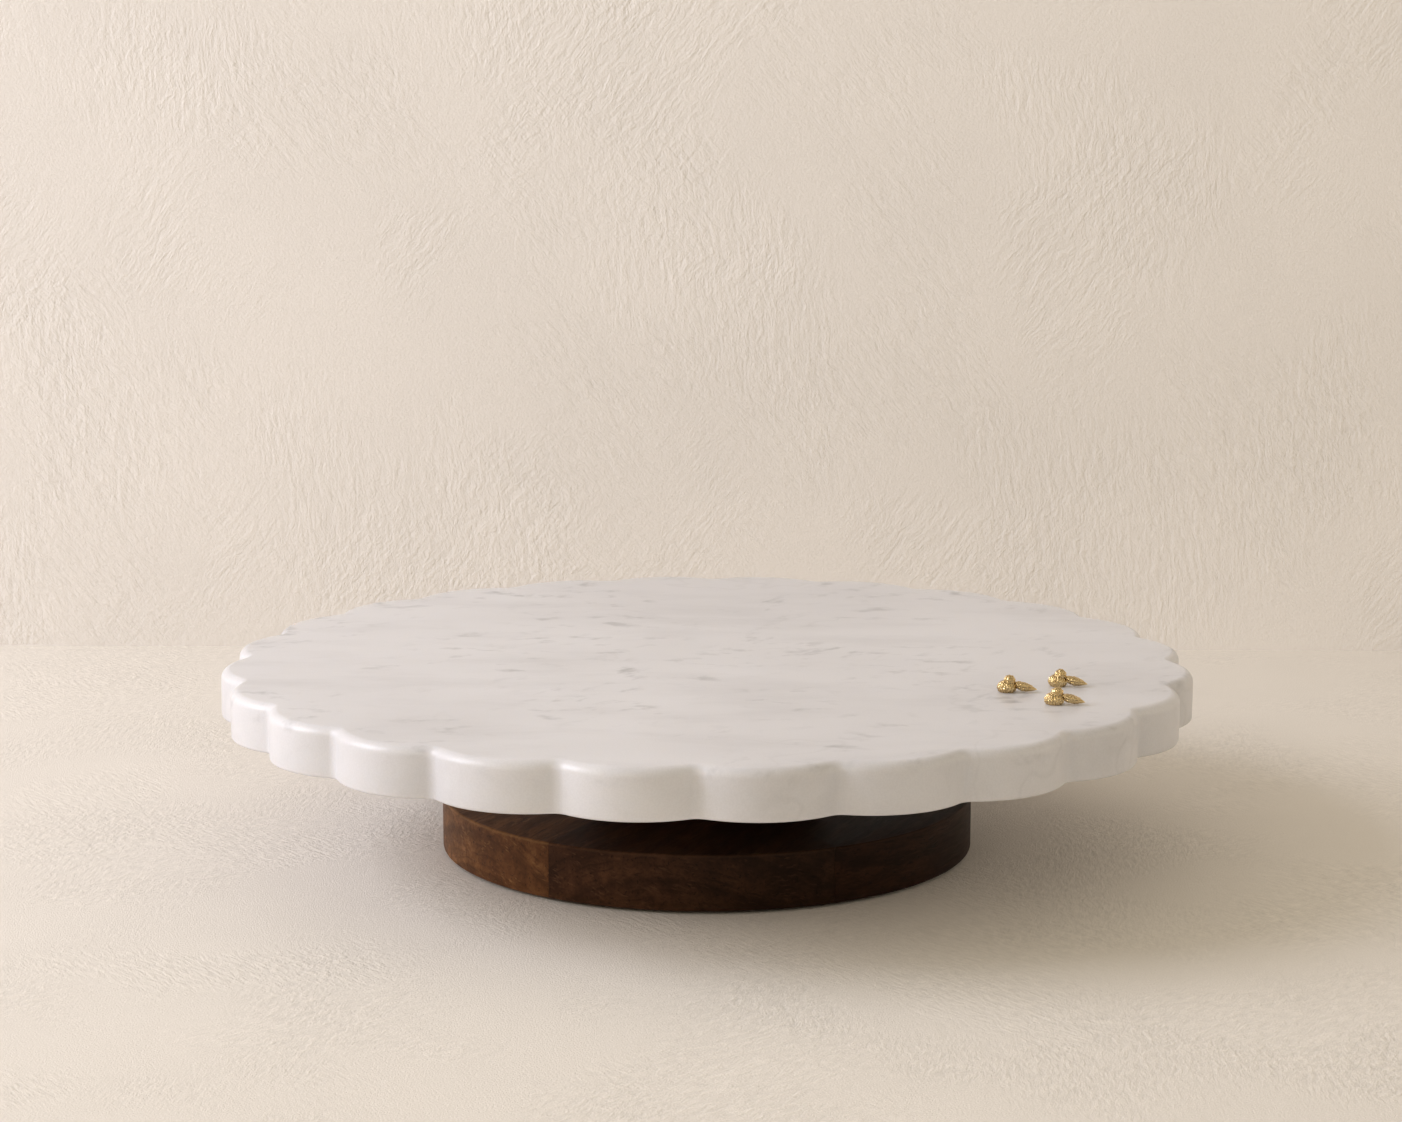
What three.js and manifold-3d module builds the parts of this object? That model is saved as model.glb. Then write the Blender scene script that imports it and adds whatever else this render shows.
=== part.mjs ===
// Lazy susan turntable: a scalloped marble slab that spins on a flat ball bearing, above a round
// walnut base. Three small brass bees are pinned to the slab near its edge.
//
// Millimetres, +Z up. The origin is on the table, on the axis that the slab turns about. From the
// bottom up it is: rubber feet, a base disc glued up from three boards, a turned riser block, the
// bearing's inner ring, its caged balls and outer ring, and the slab. Four long screws clamp base,
// riser and inner ring together from below. Six short ones hold the outer ring to brass inserts
// in the slab.

import * as THREE from "three";
import { mergeVertices } from "three/addons/utils/BufferGeometryUtils.js";
import Module from "manifold-3d";

const wasm = await Module();
wasm.setup();

// ---------------------------------------------------------------- driving dimensions

const SLAB_RADIUS = 203.2; // a 16 inch top, measured over the lobes
const SLAB_THICKNESS = 20;
const LOBES = 24;
const LOBE_RADIUS = 40;
const NOTCH_RADIUS = 6; // fillet between two lobes
const SLAB_TOP_ROUND = 4;
const SLAB_BOTTOM_ROUND = 1.2;

const BASE_RADIUS = 112;
const BASE_THICKNESS = 22.8;
const BASE_EDGE = 0.8; // small chamfer on both rims
const BOARD_TURN = THREE.MathUtils.degToRad(-24); // the boards' cross direction, from +X
const SEAMS = [-17.5, 87.8]; // glue lines, along the boards' cross direction
const GLUE_LINE = 0.1;

const RISER_RADIUS = 50;
const RISER_HEIGHT = 27;
const RISER_EDGE = 1;

const BALL_RADIUS = 2.5;
const BALLS = 16;
const RACE_RADIUS = 47.5; // circle that the ball centres run on
const RACE_CLEARANCE = 0.15;
const RING_GAP = 1.2; // from that circle to either ring's wall
const RING_HEIGHT = 7.8;
const RING_STEP = 1.2; // how much higher the outer ring stands than the inner one
const INNER_RING_BORE = 34;
const OUTER_RING_RADIUS = 70;
const RING_EDGE = 0.5;
const CAGE_WALL = 1.2;
const CAGE_HEIGHT = 5.6;
const CAGE_POCKET = 2.7;

const FOOT_RADIUS = 8;
const FOOT_HEIGHT = 4;
const FOOT_PROUD = 1.2; // how far a foot stands out of its pocket
const FOOT_CIRCLE = 95;
const FEET = 4;

const BASE_SCREWS = 4;
const BASE_SCREW_CIRCLE = 40;
const RING_SCREWS = 6;
const RING_SCREW_CIRCLE = 61;

const BEES = [
  // where each bee's stud enters the slab, and how far the bee is turned
  { x: 121.2, y: -68.2, turn: -5 },
  { x: 142.6, y: -56.4, turn: -9 },
  { x: 137.9, y: -91, turn: -7 },
];

// ---------------------------------------------------------------- heights worked out from them

const BASE_Z = FOOT_PROUD;
const RISER_Z = BASE_Z + BASE_THICKNESS;
const INNER_RING_Z = RISER_Z + RISER_HEIGHT;
const OUTER_RING_Z = INNER_RING_Z + RING_STEP;
const SLAB_Z = OUTER_RING_Z + RING_HEIGHT;
const SLAB_TOP_Z = SLAB_Z + SLAB_THICKNESS;
const RACE_Z = (OUTER_RING_Z + INNER_RING_Z + RING_HEIGHT) / 2;

// ---------------------------------------------------------------- materials

function finish(color, roughness, metalness) {
  return new THREE.MeshStandardMaterial({ color, roughness, metalness });
}

const MARBLE = finish(0xe6e1de, 0.28, 0);
const WALNUT = finish(0x4a2d1e, 0.5, 0);
const BRASS = finish(0xc9a255, 0.3, 1);
const ALUMINIUM = finish(0xb9bbbd, 0.4, 1);
const STEEL = finish(0x9a9da0, 0.3, 1);
const RUBBER = finish(0x1d1d1d, 0.85, 0);
const NYLON = finish(0xe9e6dc, 0.55, 0);

// ---------------------------------------------------------------- helpers

/** A closed three.js geometry as a manifold-3d solid. */
function solidOf(geometry) {
  const bare = geometry.clone();
  bare.deleteAttribute("normal");
  bare.deleteAttribute("uv");
  const merged = mergeVertices(bare, 1e-4);
  return new wasm.Manifold(
    new wasm.Mesh({
      numProp: 3,
      vertProperties: new Float32Array(merged.attributes.position.array),
      triVerts: new Uint32Array(merged.index.array),
    }),
  );
}

/** A manifold-3d solid as a three.js geometry. */
function geometryOf(solid) {
  const mesh = solid.getMesh();
  const geometry = new THREE.BufferGeometry();
  geometry.setAttribute(
    "position",
    new THREE.BufferAttribute(mesh.vertProperties, 3),
  );
  geometry.setIndex(new THREE.BufferAttribute(mesh.triVerts, 1));
  geometry.computeVertexNormals();
  return geometry;
}

/** Turns a profile of [radius, height] points about +Z. A ring's profile repeats its first point. */
function turned(profile, sides) {
  const points = profile.map(([radius, z]) => new THREE.Vector2(radius, z));
  return new THREE.LatheGeometry(points, sides).rotateX(Math.PI / 2);
}

/** An upright cylinder from z0 to z1, for drilling with. */
function rod(radius, z0, z1, x = 0, y = 0, sides = 20) {
  return new THREE.CylinderGeometry(radius, radius, z1 - z0, sides)
    .rotateX(Math.PI / 2)
    .translate(x, y, (z0 + z1) / 2);
}

/** Points on the circle of the given radius, spaced evenly from the angle first. */
function around(count, radius, first = 0) {
  return Array.from({ length: count }, (_, i) => {
    const angle = first + (i * 2 * Math.PI) / count;
    return {
      x: radius * Math.cos(angle),
      y: radius * Math.sin(angle),
      angle,
    };
  });
}

/** Cuts each of the tool geometries out of a geometry. */
function cut(geometry, tools) {
  return geometryOf(
    tools.reduce((left, tool) => left.subtract(solidOf(tool)), solidOf(geometry)),
  );
}

function named(name, geometry, material) {
  const mesh = new THREE.Mesh(geometry, material);
  mesh.name = name;
  return mesh;
}

/** The same mesh at each place, named stem_1, stem_2 and so on. */
function repeated(stem, geometry, material, places) {
  return places.map(({ x, y, z = 0, angle = 0 }, i) => {
    const mesh = named(`${stem}_${i + 1}`, geometry, material);
    mesh.position.set(x, y, z);
    mesh.rotation.z = angle;
    return mesh;
  });
}

// ---------------------------------------------------------------- marble slab

/** The scalloped outline, moved inwards by inset: lobe arcs joined by fillets that hollow inwards. */
function scallopOutline(inset) {
  const lobeSteps = 6;
  const notchSteps = 2;
  const half = Math.PI / LOBES;
  const toLobe = SLAB_RADIUS - LOBE_RADIUS;
  const side = toLobe * Math.sin(half);
  const reach = Math.sqrt((LOBE_RADIUS + NOTCH_RADIUS) ** 2 - side ** 2);
  const toNotch = toLobe * Math.cos(half) + reach;
  const notchTurn = Math.atan2(side, reach);
  const lobeTurn = notchTurn + half;
  const points = [];
  for (let i = 0; i < LOBES; i++) {
    const notch = (i * 2 * Math.PI) / LOBES;
    for (let k = 0; k < notchSteps; k++) {
      const a = notch + Math.PI + notchTurn * (1 - (2 * k) / notchSteps);
      const r = NOTCH_RADIUS + inset;
      points.push([
        toNotch * Math.cos(notch) + r * Math.cos(a),
        toNotch * Math.sin(notch) + r * Math.sin(a),
      ]);
    }
    const crest = notch + half;
    for (let k = 0; k < lobeSteps; k++) {
      const a = crest + lobeTurn * ((2 * k) / lobeSteps - 1);
      const r = LOBE_RADIUS - inset;
      points.push([
        toLobe * Math.cos(crest) + r * Math.cos(a),
        toLobe * Math.sin(crest) + r * Math.sin(a),
      ]);
    }
  }
  return points;
}

/** Stacks outlines of equal length into one closed body, each end closed by a fan from the axis. */
function lofted(levels) {
  const count = levels[0].outline.length;
  const positions = levels.flatMap(({ outline, z }) =>
    outline.flatMap(([x, y]) => [x, y, z]),
  );
  const bottom = levels.length * count;
  positions.push(0, 0, levels[0].z, 0, 0, levels.at(-1).z);
  const index = [];
  for (let i = 0; i < count; i++) {
    const next = (i + 1) % count;
    for (let level = 0; level + 1 < levels.length; level++) {
      const a = level * count + i;
      const b = level * count + next;
      index.push(a, b, b + count, a, b + count, a + count);
    }
    const last = (levels.length - 1) * count;
    index.push(bottom, next, i, bottom + 1, last + i, last + next);
  }
  const geometry = new THREE.BufferGeometry();
  geometry.setAttribute(
    "position",
    new THREE.Float32BufferAttribute(positions, 3),
  );
  geometry.setIndex(index);
  return geometry;
}

/** Levels of a quarter-round edge, from the side wall towards the flat face at z. */
function roundedEdge(radius, z, towards, steps) {
  return Array.from({ length: steps + 1 }, (_, i) => {
    const turn = ((i / steps) * Math.PI) / 2;
    return {
      outline: scallopOutline(radius * (1 - Math.cos(turn))),
      z: z + towards * radius * (Math.sin(turn) - 1),
    };
  });
}

const INSERT = { radius: 3.3, bore: 2.15, length: 10, recess: 0.3 };
const INSERT_POCKET = { radius: 3.6, depth: 11 };
const STUD = { radius: 1, length: 5 };
const STUD_HOLE = { radius: 1.25, depth: 6 };

function slab() {
  const levels = [
    ...roundedEdge(SLAB_BOTTOM_ROUND, SLAB_Z, -1, 1).reverse(),
    ...roundedEdge(SLAB_TOP_ROUND, SLAB_TOP_Z, 1, 3),
  ];
  const insertPockets = ringScrewPlaces().map(({ x, y }) =>
    rod(INSERT_POCKET.radius, SLAB_Z - 1, SLAB_Z + INSERT_POCKET.depth, x, y, 12),
  );
  const studHoles = BEES.map(({ x, y }) =>
    rod(STUD_HOLE.radius, SLAB_TOP_Z - STUD_HOLE.depth, SLAB_TOP_Z + 1, x, y, 8),
  );
  const geometry = cut(lofted(levels), [...insertPockets, ...studHoles]);
  return named("marble_top", geometry, MARBLE);
}

// ---------------------------------------------------------------- brass bees

/** An ellipsoid, leaned about +Y by pitch and swung about +Z by yaw, in degrees. */
function ellipsoid([rx, ry, rz], [x, y, z], pitch = 0, yaw = 0, detail = 2) {
  return new THREE.IcosahedronGeometry(1, detail)
    .scale(rx, ry, rz)
    .rotateY(THREE.MathUtils.degToRad(pitch))
    .rotateZ(THREE.MathUtils.degToRad(yaw))
    .translate(x, y, z);
}

/** One cast bee that heads along -X, with its stud's axis on the origin and its foot at z = 0. */
function beeGeometry() {
  const shapes = [
    ellipsoid([4.1, 3.4, 3.0], [-0.3, 0, 2.1]), // head and thorax, cast as one
    ellipsoid([2.5, 2.4, 2.5], [0.8, 0, 4.8], 0, 0, 1), // ruff on the thorax
    ellipsoid([4.7, 2.2, 1.9], [7.4, 0, 2.6], 9), // abdomen
    ellipsoid([4.6, 1.4, 0.5], [6.6, -1.5, 3.6], 14, -12, 1), // near wing
    ellipsoid([4.6, 1.4, 0.5], [6.6, 1.5, 3.6], 14, 12, 1), // far wing
  ];
  const floor = rod(30, -10, 0, 0, 0, 8);
  const body = shapes
    .map(solidOf)
    .reduce((whole, shape) => whole.add(shape))
    .subtract(solidOf(floor));
  const stud = solidOf(rod(STUD.radius, -STUD.length, 2, 0, 0, 8));
  return geometryOf(body.add(stud));
}

function bees() {
  const places = BEES.map(({ x, y, turn }) => ({
    x,
    y,
    z: SLAB_TOP_Z,
    angle: THREE.MathUtils.degToRad(turn),
  }));
  return repeated("bee", beeGeometry(), BRASS, places);
}

// ---------------------------------------------------------------- bearing

/** The raceway groove as [radius, z] points, from one lip to the other. side is 1 on the outer ring. */
function raceway(side, steps) {
  const radius = BALL_RADIUS + RACE_CLEARANCE;
  const lip = Math.acos(RING_GAP / radius);
  return Array.from({ length: steps + 1 }, (_, i) => {
    const a = lip * ((2 * i) / steps - 1);
    return [
      RACE_RADIUS + side * radius * Math.cos(a),
      RACE_Z + radius * Math.sin(a),
    ];
  });
}

const RING_SIDES = 56;
const RACE_STEPS = 4;

function innerRing() {
  const wall = RACE_RADIUS - RING_GAP;
  const z0 = INNER_RING_Z;
  const z1 = z0 + RING_HEIGHT;
  const profile = [
    [INNER_RING_BORE, z0],
    [wall - RING_EDGE, z0],
    [wall, z0 + RING_EDGE],
    ...raceway(-1, RACE_STEPS),
    [wall, z1 - RING_EDGE],
    [wall - RING_EDGE, z1],
    [INNER_RING_BORE, z1],
    [INNER_RING_BORE, z0],
  ];
  const holes = baseScrewPlaces().map(({ x, y }) =>
    rod(BASE_SCREW.radius + 0.1, z0 - 1, z1 + 1, x, y, 14),
  );
  const geometry = cut(turned(profile, RING_SIDES), holes);
  return named("bearing_inner_ring", geometry, ALUMINIUM);
}

const FILL_PLUG = { radius: 3, reach: 7.5 };

function outerRing() {
  const wall = RACE_RADIUS + RING_GAP;
  const z0 = OUTER_RING_Z;
  const z1 = z0 + RING_HEIGHT;
  const profile = [
    [OUTER_RING_RADIUS - RING_EDGE, z0],
    [OUTER_RING_RADIUS, z0 + RING_EDGE],
    [OUTER_RING_RADIUS, z1 - RING_EDGE],
    [OUTER_RING_RADIUS - RING_EDGE, z1],
    [wall + RING_EDGE, z1],
    [wall, z1 - RING_EDGE],
    ...raceway(1, RACE_STEPS).reverse(),
    [wall, z0 + RING_EDGE],
    [wall + RING_EDGE, z0],
    [OUTER_RING_RADIUS - RING_EDGE, z0],
  ];
  const clearance = 0.15;
  const bodies = ringScrewPlaces().map(({ x, y }) =>
    rod(RING_SCREW.radius + clearance, z0 - 1, z1 + 1, x, y, 12),
  );
  const seats = ringScrewPlaces().map(({ x, y }) =>
    turned(ringScrewSeat(clearance), 12).translate(x, y, z0),
  );
  const fillHole = fillPlugShape(clearance, 1);
  const geometry = cut(turned(profile, RING_SIDES), [
    ...bodies,
    ...seats,
    fillHole,
  ]);
  return named("bearing_outer_ring", geometry, ALUMINIUM);
}

/** The plug in the hole that the balls are loaded through, lying along +X into the outer ring. */
function fillPlugShape(clearance, past) {
  const length = FILL_PLUG.reach + past;
  const middle = OUTER_RING_RADIUS - FILL_PLUG.reach + length / 2;
  return new THREE.CylinderGeometry(
    FILL_PLUG.radius + clearance,
    FILL_PLUG.radius + clearance,
    length,
    16,
  )
    .rotateZ(Math.PI / 2)
    .translate(middle, 0, RACE_Z);
}

function fillPlug() {
  const geometry = fillPlugShape(0, -0.6).translate(0.3, 0, 0);
  return named("ball_fill_plug", geometry, STEEL);
}

function ballPlaces() {
  return around(BALLS, RACE_RADIUS, Math.PI / BALLS);
}

function cage() {
  const inside = RACE_RADIUS - CAGE_WALL / 2;
  const outside = RACE_RADIUS + CAGE_WALL / 2;
  const z0 = RACE_Z - CAGE_HEIGHT / 2 - 0.2;
  const z1 = RACE_Z + CAGE_HEIGHT / 2 + 0.2;
  const profile = [
    [inside, z0],
    [outside, z0],
    [outside, z1],
    [inside, z1],
    [inside, z0],
  ];
  const pocketLength = 4 * CAGE_WALL;
  const pockets = ballPlaces().map(({ angle }) =>
    new THREE.CylinderGeometry(CAGE_POCKET, CAGE_POCKET, pocketLength, 8)
      .rotateZ(Math.PI / 2)
      .translate(RACE_RADIUS, 0, RACE_Z)
      .rotateZ(angle),
  );
  const geometry = cut(turned(profile, RING_SIDES), pockets);
  return named("ball_cage", geometry, NYLON);
}

function balls() {
  const geometry = new THREE.IcosahedronGeometry(BALL_RADIUS, 1);
  const places = ballPlaces().map((place) => ({ ...place, z: RACE_Z }));
  return repeated("bearing_ball", geometry, STEEL, places);
}

// ---------------------------------------------------------------- fasteners

const RING_SCREW = { radius: 2, length: 16, head: 3.9, headDepth: 2 };

function ringScrewPlaces() {
  return around(RING_SCREWS, RING_SCREW_CIRCLE, Math.PI / RING_SCREWS);
}

/** The cone under a countersunk head, from its mouth at z = 0, grown by the clearance. */
function ringScrewSeat(clearance) {
  const { radius, head, headDepth } = RING_SCREW;
  return [
    [0, -1],
    [head + clearance, -1],
    [head + clearance, 0.2 + clearance],
    [radius, headDepth + clearance + 0.2],
    [0, headDepth + clearance + 0.2],
  ];
}

/** A countersunk screw that points up, its head flush with z = 0, with a hexagon socket. */
function ringScrews() {
  const { radius, length, head, headDepth } = RING_SCREW;
  const tip = 0.6;
  const profile = [
    [0, 0],
    [head, 0],
    [head, 0.2],
    [radius, headDepth],
    [radius, length - tip],
    [radius - tip, length],
    [0, length],
  ];
  const socket = rod(1.25, -1, 1.4, 0, 0, 6);
  const geometry = cut(turned(profile, 12), [socket]);
  const places = ringScrewPlaces().map((p) => ({ ...p, z: OUTER_RING_Z }));
  return repeated("ring_screw", geometry, STEEL, places);
}

/** Knurled inserts set in the slab, each with a groove round its middle. */
function inserts() {
  const { radius, bore, length, recess } = INSERT;
  const groove = 0.5;
  const profile = [
    [bore, 0],
    [radius, 0],
    [radius, length * 0.4],
    [radius - groove, length * 0.5],
    [radius, length * 0.6],
    [radius, length],
    [bore, length],
    [bore, 0],
  ];
  const places = ringScrewPlaces().map((p) => ({ ...p, z: SLAB_Z + recess }));
  return repeated("slab_insert", turned(profile, 12), BRASS, places);
}

const BASE_SCREW = { radius: 2.5, length: 50, head: 4.25, headHeight: 5 };
const WASHER = { radius: 5.6, bore: 2.8, thickness: 1 };
const COUNTERBORE = { radius: 6.2, depth: 8 };

function baseScrewPlaces() {
  return around(BASE_SCREWS, BASE_SCREW_CIRCLE, BOARD_TURN + Math.PI / 4);
}

/** Socket-head screws that come up through base and riser into the inner ring. */
function baseScrews() {
  const { radius, length, head, headHeight } = BASE_SCREW;
  const edge = 0.5;
  const profile = [
    [0, -headHeight],
    [head - edge, -headHeight],
    [head, -headHeight + edge],
    [head, 0],
    [radius, 0],
    [radius, length - edge],
    [radius - edge, length],
    [0, length],
  ];
  const socket = rod(2.3, -headHeight - 1, -headHeight + 2.5, 0, 0, 6);
  const geometry = cut(turned(profile, 16), [socket]);
  const z = BASE_Z + COUNTERBORE.depth - WASHER.thickness;
  const places = baseScrewPlaces().map((p) => ({ ...p, z }));
  return repeated("base_screw", geometry, STEEL, places);
}

function washers() {
  const { radius, bore, thickness } = WASHER;
  const profile = [
    [bore, 0],
    [radius, 0],
    [radius, thickness],
    [bore, thickness],
    [bore, 0],
  ];
  const z = BASE_Z + COUNTERBORE.depth - thickness;
  const places = baseScrewPlaces().map((p) => ({ ...p, z }));
  return repeated("base_washer", turned(profile, 16), STEEL, places);
}

// ---------------------------------------------------------------- walnut base and riser

const FOOT_SCREW = { radius: 1.5, head: 3, headHeight: 1.6, length: 11 };
const POCKET_CLEARANCE = 0.3;

function footPlaces() {
  return around(FEET, FOOT_CIRCLE, BOARD_TURN + Math.PI / 4);
}

/** The base disc with every pocket and hole in it, before it is divided into boards. */
function baseDisc() {
  const z0 = BASE_Z;
  const z1 = RISER_Z;
  const profile = [
    [0, z0],
    [BASE_RADIUS - BASE_EDGE, z0],
    [BASE_RADIUS, z0 + BASE_EDGE],
    [BASE_RADIUS, z1 - BASE_EDGE],
    [BASE_RADIUS - BASE_EDGE, z1],
    [0, z1],
  ];
  const footDepth = FOOT_HEIGHT - FOOT_PROUD;
  const footPockets = footPlaces().flatMap(({ x, y }) => [
    rod(FOOT_RADIUS + POCKET_CLEARANCE, z0 - 1, z0 + footDepth, x, y, 18),
    rod(FOOT_SCREW.radius + 0.1, z0, footScrewZ() + FOOT_SCREW.length + 1, x, y, 10),
  ]);
  const screwHoles = baseScrewPlaces().flatMap(({ x, y }) => [
    rod(COUNTERBORE.radius, z0 - 1, z0 + COUNTERBORE.depth, x, y, 20),
    rod(BASE_SCREW.radius + 0.4, z0, z1 + 1, x, y, 14),
  ]);
  return solidOf(cut(turned(profile, 72), [...footPockets, ...screwHoles]));
}

/** The three boards that the base disc is glued up from. */
function baseBoards() {
  const disc = baseDisc();
  const beyond = BASE_RADIUS + 10;
  const edges = [-beyond, ...SEAMS, beyond];
  return ["left", "middle", "right"].map((side, i) => {
    const from = edges[i] + GLUE_LINE / 2;
    const to = edges[i + 1] - GLUE_LINE / 2;
    const board = new THREE.BoxGeometry(to - from, 2 * beyond, 4 * BASE_THICKNESS)
      .translate((from + to) / 2, 0, BASE_Z)
      .rotateZ(BOARD_TURN);
    const geometry = geometryOf(disc.intersect(solidOf(board)));
    return named(`base_board_${side}`, geometry, WALNUT);
  });
}

function riser() {
  const z0 = RISER_Z;
  const z1 = INNER_RING_Z;
  const profile = [
    [0, z0],
    [RISER_RADIUS, z0],
    [RISER_RADIUS, z1 - RISER_EDGE],
    [RISER_RADIUS - RISER_EDGE, z1],
    [0, z1],
  ];
  const holes = baseScrewPlaces().map(({ x, y }) =>
    rod(BASE_SCREW.radius + 0.4, z0 - 1, z1 + 1, x, y, 14),
  );
  return named("riser_block", cut(turned(profile, 48), holes), WALNUT);
}

// ---------------------------------------------------------------- feet

/** Height of the underside of a foot screw's head, above the table. */
function footScrewZ() {
  return FOOT_HEIGHT - 1.2;
}

/** Rubber feet with a recess below for the screw's head. */
function feet() {
  const edge = 0.6;
  const recess = FOOT_SCREW.head + 0.5;
  const hole = FOOT_SCREW.radius + 0.3;
  const profile = [
    [recess, 0],
    [FOOT_RADIUS - edge, 0],
    [FOOT_RADIUS, edge],
    [FOOT_RADIUS, FOOT_HEIGHT],
    [hole, FOOT_HEIGHT],
    [hole, footScrewZ()],
    [recess, footScrewZ()],
    [recess, 0],
  ];
  return repeated("rubber_foot", turned(profile, 18), RUBBER, footPlaces());
}

/** Pan-head wood screws that hold the feet in their pockets. */
function footScrews() {
  const { radius, head, headHeight, length } = FOOT_SCREW;
  const tip = 2;
  const profile = [
    [0, -headHeight],
    [head * 0.6, -headHeight],
    [head, -headHeight * 0.4],
    [head, 0],
    [radius, 0],
    [radius, length - tip],
    [0, length],
  ];
  const driver = new THREE.BoxGeometry(head * 1.1, 0.6, 1).translate(0, 0, -headHeight);
  const across = driver.clone().rotateZ(Math.PI / 2);
  const geometry = cut(turned(profile, 10), [driver, across]);
  const places = footPlaces().map((p) => ({ ...p, z: footScrewZ() }));
  return repeated("foot_screw", geometry, STEEL, places);
}

// ---------------------------------------------------------------- assembly

const turntable = new THREE.Group();
turntable.add(slab(), ...bees(), outerRing(), fillPlug());
turntable.add(...ringScrews(), ...inserts());

const caged = new THREE.Group();
caged.add(cage(), ...balls());

const base = new THREE.Group();
base.add(...baseBoards(), riser(), innerRing());
base.add(...baseScrews(), ...washers(), ...feet(), ...footScrews());

const lazySusan = new THREE.Group();
lazySusan.add(base, caged, turntable);

export default lazySusan;
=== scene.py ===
import math

import bmesh
import bpy
from mathutils import Matrix, Vector, noise


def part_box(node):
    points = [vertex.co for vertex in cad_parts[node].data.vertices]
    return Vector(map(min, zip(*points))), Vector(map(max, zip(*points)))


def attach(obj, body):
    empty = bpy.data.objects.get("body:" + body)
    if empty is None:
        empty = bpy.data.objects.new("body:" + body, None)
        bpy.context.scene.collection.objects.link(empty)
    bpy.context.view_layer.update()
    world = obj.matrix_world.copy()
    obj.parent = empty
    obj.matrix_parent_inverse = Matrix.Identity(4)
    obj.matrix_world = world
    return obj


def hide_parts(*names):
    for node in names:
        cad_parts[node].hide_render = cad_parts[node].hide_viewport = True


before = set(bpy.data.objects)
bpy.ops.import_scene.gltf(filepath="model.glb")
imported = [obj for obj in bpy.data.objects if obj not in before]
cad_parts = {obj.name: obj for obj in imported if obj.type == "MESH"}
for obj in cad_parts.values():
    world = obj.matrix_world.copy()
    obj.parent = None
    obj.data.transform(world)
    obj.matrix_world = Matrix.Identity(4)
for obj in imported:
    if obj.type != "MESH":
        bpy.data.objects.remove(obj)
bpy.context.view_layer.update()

MM = 0.001
TAU = 2 * math.pi

# ---------------------------------------------------------------- numbers shared with the CAD, in mm

SLAB_RADIUS = 203.2
LOBES = 24
LOBE_RADIUS = 40
NOTCH_RADIUS = 6
BASE_RADIUS = 112
BASE_TOP = 24
BOARD_TURN = math.radians(-24)
SEAMS = (-17.5, 87.8)
GLUE_LINE = 0.1
RACE_RADIUS = 47.5
RACE_GROOVE = 2.65
RING_GAP = 1.2
INNER_RING_BORE = 34
OUTER_RING_RADIUS = 70
RISER_RADIUS = 50
BALL_RADIUS = 2.5
BEE_TURNS = {"bee_1": -5, "bee_2": -9, "bee_3": -7}  # degrees
BEE_REACH = 3.85  # from a bee's stud to the middle of its box

BOX_FACES = [[0, 3, 2, 1], [4, 5, 6, 7], [0, 1, 5, 4], [1, 2, 6, 5], [2, 3, 7, 6], [3, 0, 4, 7]]


def low(node):
    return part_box(node)[0] / MM


def high(node):
    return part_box(node)[1] / MM


def middle(node):
    return (low(node) + high(node)) / 2


# ---------------------------------------------------------------- meshes


def new_mesh(name, vertices, faces):
    """A mesh from points in millimetres and faces."""
    mesh = bpy.data.meshes.new(name)
    mesh.from_pydata([tuple(c * MM for c in v) for v in vertices], [], faces)
    mesh.validate()
    return mesh


def face_outwards(mesh):
    work = bmesh.new()
    work.from_mesh(mesh)
    bmesh.ops.remove_doubles(work, verts=work.verts, dist=1e-7)
    bmesh.ops.recalc_face_normals(work, faces=work.faces)
    work.to_mesh(mesh)
    work.free()


def turned(profile, sides, wave=None):
    """Points and faces of a profile of (radius, height) turned about +Z.

    The profile closes on itself, or on the axis. wave(angle, radius, height) gives a change of radius."""
    vertices, rings = [], []
    for r, z in profile:
        if r < 1e-6:
            rings.append([len(vertices)] * sides)
            vertices.append((0, 0, z))
            continue
        rings.append(list(range(len(vertices), len(vertices) + sides)))
        for k in range(sides):
            a = TAU * k / sides
            here = r + (wave(a, r, z) if wave else 0)
            vertices.append((here * math.cos(a), here * math.sin(a), z))
    on_axis = profile[0][0] < 1e-6
    pairs = list(zip(rings, rings[1:]))
    if not on_axis:
        pairs.append((rings[-1], rings[0]))
    faces = []
    for lower, upper in pairs:
        for k in range(sides):
            n = (k + 1) % sides
            loop = [lower[k], lower[n], upper[n], upper[k]]
            loop = [v for i, v in enumerate(loop) if v not in loop[:i]]
            if len(loop) > 2:
                faces.append(loop)
    return vertices, faces


def arc(centre, radius, start, end, steps):
    """Points of a circle's arc, angles in degrees."""
    for i in range(steps + 1):
        a = math.radians(start + (end - start) * i / steps)
        yield centre[0] + radius * math.cos(a), centre[1] + radius * math.sin(a)


def rod(radius, z0, z1, x=0, y=0, sides=32):
    """A plain upright cylinder for cutting with."""
    vertices, faces = turned([(0, z0), (radius, z0), (radius, z1), (0, z1)], sides)
    return [(x + u, y + v, w) for u, v, w in vertices], faces


def moved(shape, x=0, y=0, z=0, matrix=None):
    vertices, faces = shape
    matrix = matrix or Matrix.Identity(3)
    offset = Vector((x, y, z))
    return [tuple(matrix @ Vector(v) + offset) for v in vertices], faces


def joined(shapes):
    vertices, faces = [], []
    for v, f in shapes:
        faces += [[i + len(vertices) for i in face] for face in f]
        vertices += v
    return vertices, faces


def settle(obj):
    """Applies an object's modifiers."""
    graph = bpy.context.evaluated_depsgraph_get()
    graph.update()
    done = bpy.data.meshes.new_from_object(obj.evaluated_get(graph))
    old = obj.data
    obj.modifiers.clear()
    obj.data = done
    bpy.data.meshes.remove(old)


def loose(name, shape):
    mesh = new_mesh(name, *shape)
    face_outwards(mesh)
    obj = bpy.data.objects.new(name, mesh)
    bpy.context.scene.collection.objects.link(obj)
    return obj


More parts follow.
